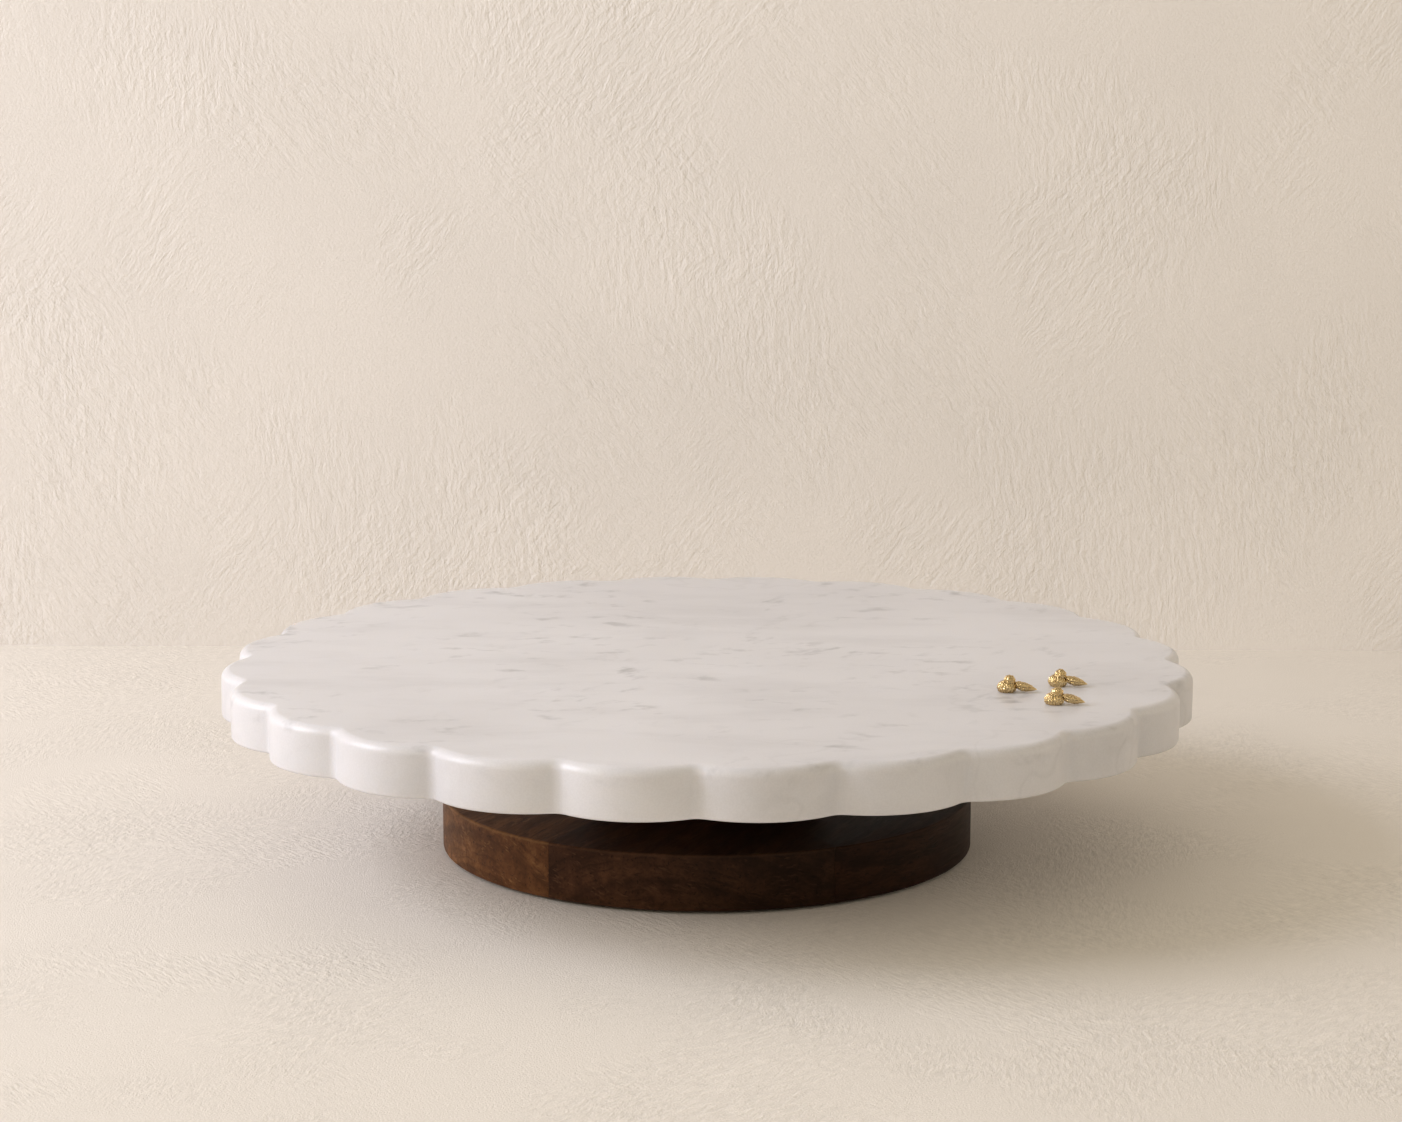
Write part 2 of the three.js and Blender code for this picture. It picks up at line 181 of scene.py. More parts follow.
def boolean(obj, shape, operation="DIFFERENCE"):
    """Cuts obj with a shape, or keeps only what is in both."""
    tool = loose("tool", shape)
    modifier = obj.modifiers.new("cut", "BOOLEAN")
    modifier.operation = operation
    modifier.solver = "EXACT"
    modifier.object = tool
    settle(obj)
    old = tool.data
    bpy.data.objects.remove(tool)
    bpy.data.meshes.remove(old)


def dress(obj, node, material, body, smooth=32):
    """Finishes a piece: shading, material, the body it rides on and the CAD node that it stands for."""
    obj.data.shade_smooth()
    obj.data.set_sharp_from_angle(angle=math.radians(smooth))
    obj.data.materials.clear()
    obj.data.materials.append(MATERIALS[material])
    for polygon in obj.data.polygons:
        polygon.material_index = 0
    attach(obj, body)
    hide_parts(node)


def copies(stem, nodes, mesh_of, material, body, place, smooth=32):
    """One piece for each of the nodes, all from the same mesh, each put in its place."""
    for i, node in enumerate(nodes):
        obj = bpy.data.objects.new(f"{stem}_{i + 1}", mesh_of(i))
        bpy.context.scene.collection.objects.link(obj)
        obj.matrix_world = place(node)
        dress(obj, node, material, body, smooth)


def numbered(stem, count):
    return [f"{stem}_{i + 1}" for i in range(count)]


def at_box(node, z):
    """A place at a node's middle, at the height z, with +X turned away from the axis."""
    c = middle(node)
    turn = Matrix.Rotation(math.atan2(c.y, c.x), 4, "Z")
    return Matrix.Translation(Vector((c.x, c.y, z)) * MM) @ turn


# ---------------------------------------------------------------- material graphs


class Graph:
    """Builds a material's nodes. Every input may be a number, a colour or another node's output."""

    def __init__(self, name):
        self.material = bpy.data.materials.new(name)
        self.material.use_nodes = True
        self.tree = self.material.node_tree
        self.tree.nodes.clear()
        out = self.node("ShaderNodeOutputMaterial")
        self.shader = self.node("ShaderNodeBsdfPrincipled")
        self.put(out.inputs["Surface"], self.shader.outputs[0])
        coordinates = self.node("ShaderNodeTexCoord")
        self.here = coordinates.outputs["Object"]

    def node(self, kind, **settings):
        made = self.tree.nodes.new(kind)
        for key, value in settings.items():
            setattr(made, key, value)
        return made

    def put(self, socket, value):
        if isinstance(value, bpy.types.NodeSocket):
            self.tree.links.new(value, socket)
        else:
            socket.default_value = value

    def set(self, **inputs):
        for key, value in inputs.items():
            self.put(self.shader.inputs[key.replace("_", " ")], value)

    def math(self, operation, a, b=0.0, c=0.0, clamp=False):
        made = self.node("ShaderNodeMath", operation=operation, use_clamp=clamp)
        for socket, value in zip(made.inputs, (a, b, c)):
            self.put(socket, value)
        return made.outputs[0]

    def hypot(self, a, b):
        squares = self.math("ADD", self.math("MULTIPLY", a, a), self.math("MULTIPLY", b, b))
        return self.math("SQRT", squares)

    def vector(self, operation, a, b):
        made = self.node("ShaderNodeVectorMath", operation=operation)
        self.put(made.inputs[0], a)
        self.put(made.inputs["Scale" if operation == "SCALE" else 1], b)
        return made.outputs[0]

    def apart(self, vector):
        """The vector's x, y and z."""
        made = self.node("ShaderNodeSeparateXYZ")
        self.put(made.inputs[0], vector)
        return made.outputs

    def mapped(self, vector, scale=(1, 1, 1), rotation=(0, 0, 0), location=(0, 0, 0)):
        made = self.node("ShaderNodeMapping")
        self.put(made.inputs["Vector"], vector)
        made.inputs["Scale"].default_value = scale
        made.inputs["Rotation"].default_value = rotation
        made.inputs["Location"].default_value = location
        return made.outputs[0]

    def noise(self, vector, scale, detail=2.0, roughness=0.5, colour=False):
        made = self.node("ShaderNodeTexNoise")
        self.put(made.inputs["Vector"], vector)
        made.inputs["Scale"].default_value = scale
        made.inputs["Detail"].default_value = detail
        made.inputs["Roughness"].default_value = roughness
        return made.outputs["Color" if colour else 0]

    def dimples(self, vector, scale):
        made = self.node("ShaderNodeTexVoronoi", feature="SMOOTH_F1")
        self.put(made.inputs["Vector"], vector)
        made.inputs["Scale"].default_value = scale
        return made.outputs[0]

    def warped(self, vector, scale, amount, detail=2.0):
        """The vector pushed about by a noise, by up to half the amount in metres."""
        push = self.noise(vector, scale, detail, colour=True)
        push = self.vector("SUBTRACT", push, (0.5, 0.5, 0.5))
        return self.vector("ADD", vector, self.vector("SCALE", push, amount))

    def ramp(self, value, *stops):
        """Maps a value through (position, level) stops, smoothly."""
        made = self.node("ShaderNodeValToRGB")
        self.put(made.inputs[0], value)
        ramp = made.color_ramp
        ramp.interpolation = "EASE"
        while len(ramp.elements) < len(stops):
            ramp.elements.new(0.5)
        for element, (position, level) in zip(ramp.elements, stops):
            element.position = position
            element.color = (level, level, level, 1)
        return made.outputs[0]

    def patchy(self, value, low, high, patches, start, end):
        """The value's part from low to high, only where the patches go from start to end."""
        part = self.ramp(value, (low, 0), (high, 1))
        return self.math("MULTIPLY", part, self.ramp(patches, (start, 0), (end, 1)))

    def mix(self, factor, a, b, blend="MIX"):
        made = self.node("ShaderNodeMix", data_type="RGBA", blend_type=blend)
        self.put(made.inputs[0], factor)
        for socket, value in zip(made.inputs[6:8], (a, b)):
            self.put(socket, (*value, 1) if isinstance(value, tuple) else value)
        return made.outputs[2]

    def blend(self, factor, share, a, b):
        """Goes from a to b by the factor, and no further than the share."""
        return self.mix(self.math("MULTIPLY", factor, share), a, b)

    def bump(self, height, distance, strength=1.0):
        """distance is in millimetres."""
        made = self.node("ShaderNodeBump")
        made.inputs["Strength"].default_value = strength
        made.inputs["Distance"].default_value = distance * MM
        self.put(made.inputs["Height"], height)
        return made.outputs[0]


def marble_flecks(g, warped):
    """One in the grey flecks, which lie along two directions in a bed near the slab's top."""
    askew = g.mapped(warped, rotation=(0, 0, math.radians(-52)))
    sparse = g.noise(g.mapped(g.here, location=(1.7, 0.4, 2.2)), 19, 2, 0.5)
    sparser = g.noise(g.mapped(g.here, location=(5.3, 2.6, 4)), 14, 2, 0.5)
    fleck = g.noise(g.mapped(warped, (62, 84, 100)), 1, 3, 0.55)
    slant = g.noise(g.mapped(askew, (54, 92, 100)), 1, 3, 0.55)
    fleck = g.patchy(fleck, 0.53, 0.76, sparse, 0.46, 0.62)
    slant = g.patchy(slant, 0.54, 0.76, sparser, 0.48, 0.64)
    fleck = g.math("MAXIMUM", fleck, slant)
    bed_floor, bed_rise = 0.0715, 0.01
    bed = g.math("DIVIDE", g.math("SUBTRACT", g.apart(warped)[2], bed_floor), bed_rise, clamp=True)
    return g.math("MULTIPLY", fleck, g.math("MULTIPLY_ADD", bed, 0.85, 0.15))


def marble_threads(g, warped):
    """One along the thin dark lines that wander through the slab."""
    thread = g.math("ABSOLUTE", g.math("SUBTRACT", g.noise(warped, 11, 3, 0.6), 0.5))
    thread = g.ramp(thread, (0.0, 1), (0.012, 0))
    return g.math("MULTIPLY", thread, g.ramp(g.noise(g.here, 7, 1), (0.5, 0), (0.68, 1)))


def marble():
    g = Graph("marble_satin")
    warped = g.warped(g.here, 14, 0.02, 2)
    cloud = g.noise(warped, 7, 3, 0.5)
    veil = g.noise(g.mapped(warped, (11, 30, 20)), 1, 5, 0.6)
    body = g.mix(g.ramp(cloud, (0.34, 0), (0.68, 1)), (0.726, 0.719, 0.746), (0.663, 0.654, 0.678))
    body = g.blend(g.ramp(veil, (0.44, 0), (0.72, 1)), 0.42, body, (0.54, 0.53, 0.55))
    body = g.blend(marble_threads(g, warped), 0.16, body, (0.42, 0.41, 0.42))
    body = g.blend(marble_flecks(g, warped), 0.6, body, (0.26, 0.26, 0.275))
    crystal = g.ramp(g.noise(g.here, 1500, 1), (0.35, 0.965), (0.65, 1.0))
    body = g.mix(1.0, body, crystal, "MULTIPLY")
    wear = g.noise(g.here, 25, 2, 0.5)
    polish = g.noise(g.here, 260, 1)
    g.set(Base_Color=body, Roughness=g.math("MULTIPLY_ADD", wear, 0.08, 0.36))
    g.set(Normal=g.bump(polish, 0.012, 0.25), IOR=1.52, Subsurface_Weight=0.35, Subsurface_Scale=0.006)
    g.set(Subsurface_Radius=(1.0, 0.85, 0.7), Specular_IOR_Level=0.3, Coat_Weight=0.22, Coat_Roughness=0.08)
    return g.material


def painted_arris_highlight(g):
    """A painted highlight: one on the disc's upper arris, where the edge is painted pale as though it
    caught the light, and none away from it.
    """
    x, y, z = g.apart(g.here)
    corner = g.math("ADD", g.hypot(x, y), z)
    reach, starts, fades = (BASE_RADIUS + BASE_TOP) * MM, 1.3 * MM, 0.7 * MM
    arris_highlight = g.math("DIVIDE", g.math("SUBTRACT", corner, reach - starts), fades, clamp=True)
    return g.math("MULTIPLY", arris_highlight, g.ramp(g.noise(g.here, 90, 3, 0.6), (0.3, 0.35), (0.6, 1)))


def walnut_rings(g, bent, pith):
    """How dark the year rings and the wider bands of colour are, about a line along the board."""
    x, _, z = g.apart(bent)
    across = g.math("SUBTRACT", x, pith[0] * MM)
    up = g.math("SUBTRACT", z, pith[1] * MM)
    radius = g.hypot(across, up)
    year = g.math("FRACT", g.math("MULTIPLY", radius, 1 / 0.0031))
    late = g.ramp(year, (0.0, 0.2), (0.55, 0.35), (0.9, 1.0), (1.0, 0.2))
    clear = g.ramp(g.noise(g.mapped(bent, (1, 0.15, 1)), 130, 3), (0.42, 0.1), (0.62, 1))
    late = g.math("MULTIPLY", late, clear)
    band = g.math("FRACT", g.math("MULTIPLY_ADD", radius, 1 / 0.0145, 0.3))
    band = g.ramp(band, (0.0, 0.0), (0.5, 0.35), (0.85, 1.0), (1.0, 0.0))
    return late, band


def painted_falloff_across_board(g, along, extent, painted_falloff):
    """Painted light: a level that goes evenly from the board's left edge to its right one."""
    left, right = extent
    place = g.math("SUBTRACT", g.apart(along)[0], left * MM)
    place = g.math("DIVIDE", place, (right - left) * MM, clamp=True)
    return g.ramp(place, (0.0, painted_falloff[0]), (1.0, painted_falloff[1]))


def walnut(name, pith, tone, tilt=0.0, extent=(-BASE_RADIUS, BASE_RADIUS), painted_falloff=(1.0, 1.0)):
    """Walnut with its rings about a line along the board, pith = (across, up) in mm from the origin.

    The last argument is a painted light falloff: how light the board is made at the left and right of its
    extent, which is also in mm across."""
    g = Graph(name)
    along = g.mapped(g.here, rotation=(tilt, 0, -BOARD_TURN))
    bent = g.warped(along, 16, 0.012, 3)
    bent = g.warped(bent, 120, 0.0026, 3)
    late, band = walnut_rings(g, bent, pith)
    wide = g.noise(g.mapped(bent, (30, 6, 30)), 1, 3, 0.55)
    fibre = g.noise(g.mapped(bent, (900, 60, 900)), 1, 3, 0.6)
    pore = g.noise(g.mapped(bent, (800, 34, 800)), 1, 2, 0.6)
    pore = g.ramp(pore, (0.60, 0), (0.70, 1))
    grain = g.mapped(bent, (1, 0.09, 1))
    mottle = g.noise(g.warped(grain, 180, 0.003, 2), 170, 4, 0.62)
    leaning = g.mapped(bent, rotation=(0, math.radians(-16), 0))
    wisp = g.ramp(g.noise(g.mapped(leaning, (310, 40, 1050)), 1, 3, 0.55), (0.55, 0), (0.68, 1))
    wisp = g.math("MULTIPLY", wisp, g.ramp(g.noise(grain, 110, 2), (0.38, 0.1), (0.62, 1)))
    shades = (0.022, 0.0098, 0.0056), (0.056, 0.026, 0.0145), (0.098, 0.050, 0.028)
    # tone scales these colours; for the boards it is partly their own colour and partly painted light
    dark, mid, pale = [tuple(c * t for c, t in zip(rgb, tone)) for rgb in shades]
    hollow = tuple(c * 0.45 for c in dark)
    bright = (pale[0] * 1.55, pale[1] * 1.75, pale[2] * 2.0)
    # the pale colour of the painted highlight along the upper arris
    arris_highlight = (pale[0] * 1.6, pale[1] * 1.9, pale[2] * 2.2)
    colour = g.mix(g.ramp(wide, (0.3, 0), (0.7, 1)), mid, pale)
    colour = g.blend(band, 0.55, colour, dark)
    colour = g.blend(late, 0.62, colour, dark)
    colour = g.blend(g.ramp(mottle, (0.40, 1), (0.60, 0)), 0.5, colour, dark)
    colour = g.mix(g.ramp(fibre, (0.40, 0.0), (0.75, 0.45)), colour, dark)
    colour = g.blend(pore, 0.65, colour, hollow)
    colour = g.blend(wisp, 0.38, colour, bright)
    # painted highlight: the upper arris lightened as though catching the light
    colour = g.blend(painted_arris_highlight(g), 0.3, colour, arris_highlight)
    # painted light: the board darkened from one edge towards the other
    colour = g.mix(1.0, colour, painted_falloff_across_board(g, along, extent, painted_falloff), "MULTIPLY")
    rough = g.math("MULTIPLY_ADD", fibre, 0.2, 0.4)
    relief = g.math("SUBTRACT", g.math("MULTIPLY", fibre, 0.4), pore)
    relief = g.math("ADD", relief, g.math("MULTIPLY", wisp, 0.6))
    g.set(Base_Color=colour, Roughness=rough, Normal=g.bump(relief, 0.07, 0.6), IOR=1.48)
    g.set(Specular_IOR_Level=0.1)
    return g.material


def cast_brass():
    g = Graph("brass_cast")
    tarnish = g.noise(g.here, 260, 4, 0.6)
    beaten = g.dimples(g.here, 1300)
    colour = g.mix(g.ramp(tarnish, (0.35, 0), (0.7, 1)), (0.64, 0.465, 0.225), (0.88, 0.68, 0.37))
    painted_hollow_shade = g.node("ShaderNodeNewGeometry").outputs["Pointiness"]
    # painted shade: the hollows of the cast bees made dark brown
    colour = g.mix(g.ramp(painted_hollow_shade, (0.45, 1), (0.52, 0)), colour, (0.13, 0.075, 0.03))
    rough = g.math("MULTIPLY_ADD", tarnish, 0.1, 0.07)
    g.set(Base_Color=colour, Metallic=1.0, Roughness=rough)
    g.set(Normal=g.bump(beaten, 0.08, 0.4))
    return g.material


def machined(name, base, worn, rough, depth=0.012):
    """Turned metal: fine rings about the piece's own axis, and a little staining."""
    g = Graph(name)
    x, y, z = g.apart(g.here)
    lines = g.node("ShaderNodeCombineXYZ")
    g.put(lines.inputs[0], g.math("ADD", g.hypot(x, y), z))
    grooves = g.noise(lines.outputs[0], 2600, 3, 0.7)
    stain = g.noise(g.here, 120, 4, 0.6)
    colour = g.mix(g.ramp(stain, (0.35, 0), (0.75, 1)), base, worn)
    g.set(Base_Color=colour, Metallic=1.0, Normal=g.bump(grooves, depth, 0.5))
    g.set(Roughness=g.math("MULTIPLY_ADD", stain, 0.18, rough))
    return g.material


def rubber():
    g = Graph("rubber_matte")
    dust = g.noise(g.here, 320, 4, 0.65)
    grain = g.noise(g.here, 2600, 2)
    colour = g.mix(g.ramp(dust, (0.45, 0), (0.8, 1)), (0.013, 0.013, 0.014), (0.05, 0.048, 0.045))
    g.set(Base_Color=colour, Roughness=g.math("MULTIPLY_ADD", dust, 0.15, 0.68))
    g.set(Normal=g.bump(grain, 0.03, 0.5))
    return g.material


def nylon():
    g = Graph("nylon_natural")
    flow = g.noise(g.here, 90, 3, 0.5)
    grain = g.noise(g.here, 3000, 2)
    colour = g.mix(g.ramp(flow, (0.35, 0), (0.7, 1)), (0.76, 0.73, 0.66), (0.68, 0.64, 0.55))
    g.set(Base_Color=colour, Roughness=g.math("MULTIPLY_ADD", flow, 0.12, 0.42))
    g.set(Normal=g.bump(grain, 0.01, 0.4), Subsurface_Weight=0.2, Subsurface_Scale=0.002)
    return g.material


MATERIALS = {
    "marble": marble(),
    "walnut": walnut("walnut_riser", (12, -60), (0.55, 0.5, 0.47)),
    "cast_brass": cast_brass(),
    "turned_brass": machined("brass_turned", (0.78, 0.56, 0.27), (0.62, 0.42, 0.18), 0.22),
    "aluminium": machined("aluminium_turned", (0.62, 0.63, 0.64), (0.48, 0.49, 0.50), 0.28),
    "ball_steel": machined("steel_polished", (0.66, 0.67, 0.68), (0.58, 0.58, 0.59), 0.06, depth=0.001),
    "screw_steel": machined("steel_zinc", (0.55, 0.56, 0.57), (0.40, 0.40, 0.41), 0.24),
    "rubber": rubber(),
    "nylon": nylon(),
}
# Each board's tone is partly its own colour and partly painted light: the left board, on the window side,
# is made much lighter and the right board much darker.
BOARDS = {
    "left": walnut(
        "walnut_board_left", (-58, -46), (2.95, 2.52, 1.65),
        extent=(-BASE_RADIUS, SEAMS[0]), painted_falloff=(0.96, 0.85),
    ),
    "middle": walnut("walnut_board_middle", (34, -70), (0.97, 0.8, 0.64), 0.02, SEAMS, (1.1, 0.42)),
    "right": walnut("walnut_board_right", (120, 62), (0.36, 0.26, 0.2)),
}

# ---------------------------------------------------------------- marble slab


def around(distance, bearing, radius, angle):
    """A point of a circle whose centre lies at a distance and bearing from the origin."""
    x = distance * math.cos(bearing) + radius * math.cos(angle)
    y = distance * math.sin(bearing) + radius * math.sin(angle)
    return x, y


def scallop(inset, lobe_steps=26, notch_steps=8):
    """The scalloped outline in mm, moved inwards by inset."""
    half = math.pi / LOBES
    to_lobe = SLAB_RADIUS - LOBE_RADIUS
    side = to_lobe * math.sin(half)
    reach = math.sqrt((LOBE_RADIUS + NOTCH_RADIUS) ** 2 - side**2)
    to_notch = to_lobe * math.cos(half) + reach
    notch_turn = math.atan2(side, reach)
    lobe_turn = notch_turn + half
    points = []
    for i in range(LOBES):
        notch = TAU * i / LOBES
        r = NOTCH_RADIUS + inset
        for k in range(notch_steps):
            angle = notch + math.pi + notch_turn * (1 - 2 * k / notch_steps)
            points.append(around(to_notch, notch, r, angle))
        crest = notch + half
        r = LOBE_RADIUS - inset
        for k in range(lobe_steps):
            angle = crest + lobe_turn * (2 * k / lobe_steps - 1)
            points.append(around(to_lobe, crest, r, angle))
    return points


def slab_levels(z0, z1):
    """(inset, height) up the edge: a small round below, a wall and a larger round above."""
    below, above = 1.2, 4.0
    levels = [(below - r, z0 + z) for r, z in arc((0, below), below, -90, 0, 5)]
    levels += [(0, z0 + below + (z1 - above - z0 - below) * t) for t in (0.25, 0.5, 0.75)]
    levels += [(above - r, z1 - above + z) for r, z in arc((0, 0), above, 0, 90, 12)]
    return levels


def hand_worked(x, y, z):
    """How far a point of the edge is drawn in by hand finishing, in mm."""
    a = math.atan2(y, x)
    slow = noise.noise(Vector((3 * math.cos(a), 3 * math.sin(a), 0.5)))
    quick = noise.noise(Vector((x * 0.05, y * 0.05, z * 0.08)))
    usual = 0.35
    return usual + usual * slow + 0.18 * quick


def slab_shape(z0, z1):
    vertices, faces, rings = [], [], []
    flat_within, worked_beyond = 170, 190

    def ring(outline, z):
        rings.append(range(len(vertices), len(vertices) + len(outline)))
        for x, y in outline:
            r = math.hypot(x, y)
            part = min(1, max(0, (r - flat_within) / (worked_beyond - flat_within)))
            pull = hand_worked(x, y, z) * part
            vertices.append((x * (1 - pull / r), y * (1 - pull / r), z))

    inner = [0.9, 0.72, 0.5, 0.25]
    levels = slab_levels(z0, z1)
    first, last = scallop(levels[0][0]), scallop(levels[-1][0])
    for share in reversed(inner):
        ring([(x * share, y * share) for x, y in first], z0)
    for inset, z in levels:
        ring(scallop(inset), z)
    for share in inner:
        ring([(x * share, y * share) for x, y in last], z1)
    count = len(first)
    for lower, upper in zip(rings, rings[1:]):
        for k in range(count):
            n = (k + 1) % count
            faces.append((lower[k], lower[n], upper[n], upper[k]))
    for rim, z in ((rings[0], z0), (rings[-1], z1)):
        vertices.append((0, 0, z))
        for k in range(count):
            faces.append((rim[k], rim[(k + 1) % count], len(vertices) - 1))
    return vertices, faces


def build_slab():
    z0, z1 = low("marble_top").z, high("marble_top").z
    slab = loose("scalloped_marble_slab", slab_shape(z0, z1))
    pockets = [rod(3.6, z0 - 2, z0 + 11, middle(n).x, middle(n).y) for n in numbered("slab_insert", 6)]
    studs = [rod(1.25, z1 - 6, z1 + 2, *bee_foot(n)[:2]) for n in numbered("bee", 3)]
    boolean(slab, joined(pockets + studs))
    dress(slab, "marble_top", "marble", "turntable", 50)


# ---------------------------------------------------------------- bees


def bee_foot(node):
    """Where a bee's stud enters the slab, from the far side of its box from the abdomen's tip."""
    turn = math.radians(BEE_TURNS[node])
    c = middle(node)
    return c.x - BEE_REACH * math.cos(turn), c.y - BEE_REACH * math.sin(turn), high("marble_top").z


def blob(centre, radii, level=5):
    """An ellipsoid as a shape."""
    work = bmesh.new()
    bmesh.ops.create_icosphere(work, subdivisions=level, radius=1)
    vertices = [tuple(Vector([c * r for c, r in zip(v.co, radii)]) + Vector(centre)) for v in work.verts]
    faces = [[v.index for v in f.verts] for f in work.faces]
    work.free()
    return vertices, faces


def teardrop(length, radius, widen, root, pitch, steps=40, sides=48):
    """A body that is round at its root and pointed at its tip, lying along +X and leaned down by pitch."""
    profile = []
    for i in range(steps + 1):
        t = i / steps
        r = radius * max(0.0, math.sin(math.pi * t**0.68)) ** 0.85
        profile.append((r if 0 < i < steps else 0, length * t))
    vertices, faces = turned(profile, sides)
    vertices = [(z, y * widen, -x) for x, y, z in vertices]
    return moved((vertices, faces), *root, matrix=Matrix.Rotation(math.radians(pitch), 3, "Y"))


def bee_parts(plump):
    """A bee that heads along -X and folds its wings over its abdomen."""
    parts = [
        blob((-0.3, 0, 2.0), (3.95, 3.25 * plump, 2.95)),
        blob((0.8, 0, 4.7), (2.4, 2.35, 2.35 * plump)),
        teardrop(9.1, 1.8, 1.15, (2.95, 0, 3.05), 12),
    ]
    for side in (-1, 1):
        roof = Matrix.Rotation(math.radians(-side * 24), 3, "X")
        wing = moved(teardrop(7.5, 1.35, 1.0, (0, 0, 0), 0), matrix=Matrix.Diagonal((1, 1, 0.55)))
        lean = Matrix.Rotation(math.radians(side * 6), 3, "Z") @ Matrix.Rotation(math.radians(11.5), 3, "Y")
        parts.append(moved(wing, 2.9, side * 0.75, 3.9, lean @ roof))
    return parts


def hammered(x, y, z, size, depth):
    """Round dimples raised between their edges, in mm."""
    nearest = noise.voronoi(Vector((x, y, z)) / size)[0][0]
    return depth * (0.5 - min(1, (nearest / 0.6) ** 2))


def worked(point, seed):
    """How far the modeller's tool raises the bee's surface at a point, in mm."""
    x, y, z = point
    if x > 3.7:
        tip = min(1, max(0.15, (11 - x) / 4))
        return tip * hammered(x + seed, y, z, 0.8, 0.24)
    ruff = min(1, max(0, (z - 3.7) / 0.8))
    angle = math.atan2(y, x - 0.2)
    lock = math.sin(18 * angle + 2.2 * noise.noise(Vector((x, y, z + seed)) * 0.7))
    body = 0.07 * lock + hammered(x, y + seed, z * 0.8, 0.88, 0.26) - 0.03
    return (1 - ruff) * body + ruff * (0.04 * lock + hammered(x, y + seed, z, 0.95, 0.24))


def bee_mesh(seed):
    bee = loose("bee", joined(bee_parts((0.97, 1.03, 0.99)[seed])))
    remesh = bee.modifiers.new("fuse", "REMESH")
    remesh.mode = "VOXEL"
    remesh.voxel_size = 0.11 * MM
    soft = bee.modifiers.new("soft", "SMOOTH")
    soft.iterations = 4
    settle(bee)
    mesh = bee.data
    raised = [v.co + v.normal * worked(v.co / MM, 9.7 * seed) * MM for v in mesh.vertices]
    for v, place in zip(mesh.vertices, raised):
        v.co = place if place.z > 0 else Vector((place.x, place.y, 0))
    mesh.update()
    bpy.data.objects.remove(bee)
    return mesh


def build_bees():
    def place(node):
        x, y, z = bee_foot(node)
        turn = Matrix.Rotation(math.radians(BEE_TURNS[node]), 4, "Z")
        return Matrix.Translation(Vector((x, y, z)) * MM) @ turn

    copies("brass_bee", numbered("bee", 3), bee_mesh, "cast_brass", "turntable", place, 60)


# ---------------------------------------------------------------- walnut base and riser

BASE_SCREWS = numbered("base_screw", 4)
FEET = numbered("rubber_foot", 4)


def stepped_hole(centre, wide, narrow, end, sides=56):
    """A cutter for a hole that is wide and then narrow up to its end, each given as (radius, start)."""
    (r, z), (bore, shoulder) = wide, narrow
    profile = [(0, z), (r, z), (r, shoulder), (bore, shoulder), (bore, end), (0, end)]
    return moved(turned(profile, sides), centre.x, centre.y)


def base_disc():
    z0, z1 = low("base_board_middle").z, high("base_board_middle").z
    edge = 0.8
    rim = BASE_RADIUS - edge
    profile = [(0, z0), (60, z0), *arc((rim, z0 + edge), edge, -90, 0, 5)]
    profile += [*arc((rim, z1 - edge), edge, 0, 90, 5), (60, z1), (0, z1)]
    disc = loose("disc", turned(profile, 288))
    holes = []
    for foot in FEET:
        c, top = middle(foot), high(foot).z
        holes.append(stepped_hole(c, (8.3, z0 - 2), (1.6, top), top + 11))
    for screw, washer in zip(BASE_SCREWS, numbered("base_washer", 4)):
        holes.append(stepped_hole(middle(screw), (6.2, z0 - 2), (2.9, high(washer).z), z1 + 2))
    boolean(disc, joined(holes))
    return disc


def build_base():
    """The disc, parted along its two glue lines into three boards."""
    disc = base_disc()
    beyond = BASE_RADIUS + 20
    edges = [-beyond, *SEAMS, beyond]
    for i, name in enumerate(("left", "middle", "right")):
        board = bpy.data.objects.new(f"walnut_board_{name}", disc.data.copy())
        bpy.context.scene.collection.objects.link(board)
        a, b = edges[i] + GLUE_LINE / 2, edges[i + 1] - GLUE_LINE / 2
        sides = (a, -beyond), (b, -beyond), (b, beyond), (a, beyond)
        corners = [(x, y, z) for z in (-10, 50) for x, y in sides]
        box = moved((corners, BOX_FACES), matrix=Matrix.Rotation(BOARD_TURN, 3, "Z"))
        boolean(board, box, "INTERSECT")
        dress(board, f"base_board_{name}", "walnut", "base")
        board.data.materials[0] = BOARDS[name]
    bpy.data.objects.remove(disc)


def build_riser():
    z0, z1 = low("riser_block").z, high("riser_block").z
    edge = 1.2
    rim = RISER_RADIUS - edge
    profile = [(0, z0), (RISER_RADIUS, z0), *arc((rim, z1 - edge), edge, 0, 90, 5), (0, z1)]
    riser = loose("walnut_riser", turned(profile, 192))
    boolean(riser, joined([rod(2.9, z0 - 2, z1 + 2, middle(n).x, middle(n).y) for n in BASE_SCREWS]))
    dress(riser, "riser_block", "walnut", "base")


# ---------------------------------------------------------------- bearing


def race(side, z):
    """The groove's points from its lower lip to its upper one."""
    lip = math.degrees(math.acos(RING_GAP / RACE_GROOVE))
    for x, y in arc((0, z), RACE_GROOVE, -lip, lip, 12):
        yield RACE_RADIUS + side * x, y


def race_height():
    return middle("bearing_ball_1").z


def chamfered(inner, outer, z0, z1, edge=0.5):
    """Corners of a ring's section, from its inner bottom corner up its inside, each cut off."""
    return [
        (inner, z0 + edge), (inner, z1 - edge), (inner + edge, z1), (outer - edge, z1),
        (outer, z1 - edge), (outer, z0 + edge), (outer - edge, z0), (inner + edge, z0),
    ]


def build_inner_ring():
    z0, z1 = low("bearing_inner_ring").z, high("bearing_inner_ring").z
    profile = chamfered(INNER_RING_BORE, RACE_RADIUS - RING_GAP, z0, z1)
    profile[5:5] = reversed(list(race(-1, race_height())))
    ring = loose("inner_race_ring", turned(profile, 192))
    boolean(ring, joined([rod(2.6, z0 - 1, z1 + 1, middle(n).x, middle(n).y) for n in BASE_SCREWS]))
    dress(ring, "bearing_inner_ring", "aluminium", "base")


